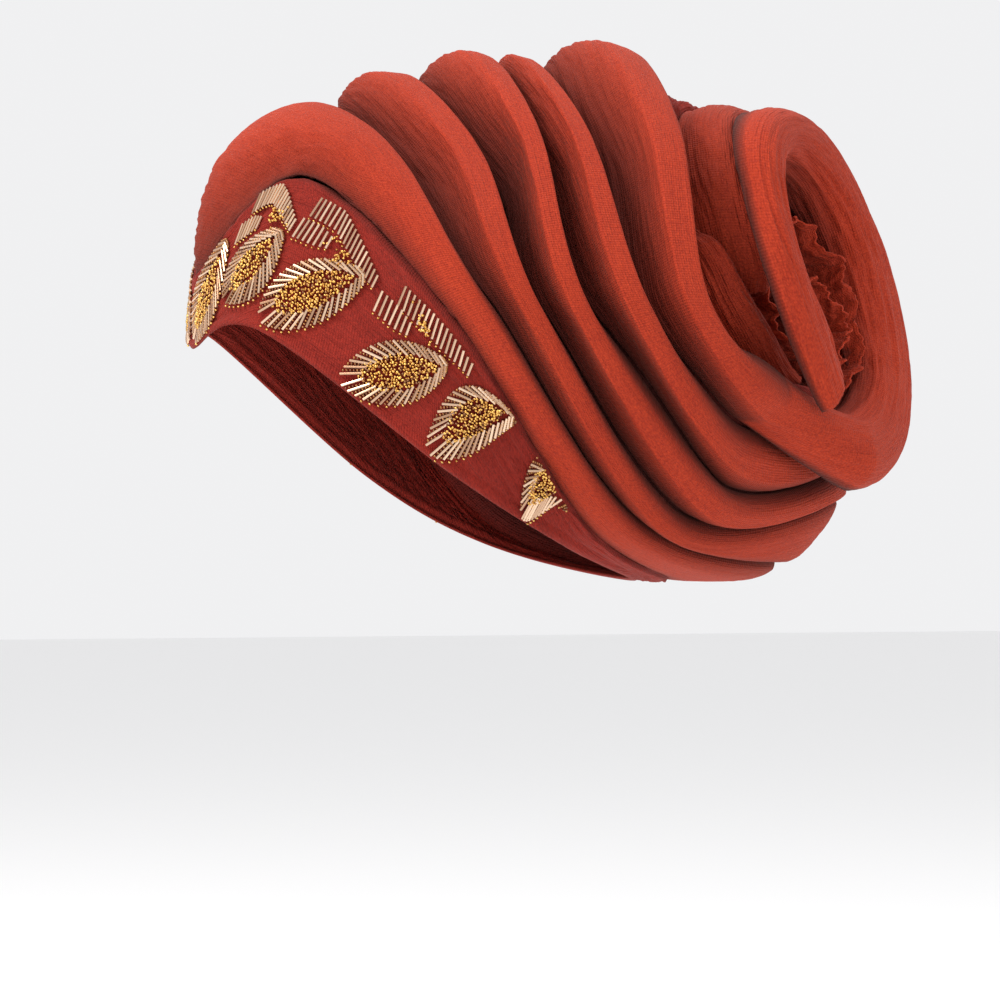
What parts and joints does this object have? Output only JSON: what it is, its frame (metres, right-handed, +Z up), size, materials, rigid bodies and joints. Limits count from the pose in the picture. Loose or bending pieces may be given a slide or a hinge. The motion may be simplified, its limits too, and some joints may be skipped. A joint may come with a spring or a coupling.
{
  "type": "tied gele head tie",
  "caption": "Tied head wrap of crinkled red cloth with deep hoop folds, a rosette at the back and beaded leaves on the brow band.",
  "frame": {"origin": "middle of the head opening, level with the temples", "axes": "+Z up, the wearer faces -Y, the wearer's left is +X"},
  "size_m": [0.2166, 0.3262, 0.2378],
  "materials": {
    "wrap_cloth": "matt crinkled weave",
    "beadwork": "gold and champagne glass beads"
  },
  "bodies": {
    "root": {"cap": "wrap_cloth", "pleat_1": "wrap_cloth", "pleat_2": "wrap_cloth", "pleat_3": "wrap_cloth", "pleat_4": "wrap_cloth", "pleat_5_rosette": "wrap_cloth", "rosette_back_roll": "wrap_cloth", "back_fold": "wrap_cloth", "rosette_core": "wrap_cloth", "leaf_left_1": "beadwork", "leaf_left_2": "beadwork", "leaf_left_3": "beadwork", "leaf_left_4": "beadwork", "leaf_left_5": "beadwork", "leaf_left_6": "beadwork", "leaf_right_1": "beadwork", "leaf_right_2": "beadwork", "leaf_right_3": "beadwork", "leaf_right_4": "beadwork", "leaf_right_5": "beadwork", "leaf_right_6": "beadwork", "bar_left_1": "beadwork", "bar_left_2": "beadwork", "bar_left_3": "beadwork", "bar_left_4": "beadwork", "bar_left_5": "beadwork", "bar_left_6": "beadwork", "bar_right_1": "beadwork", "bar_right_2": "beadwork", "bar_right_3": "beadwork", "bar_right_4": "beadwork", "bar_right_5": "beadwork", "bar_right_6": "beadwork"}
  },
  "joints": []
}
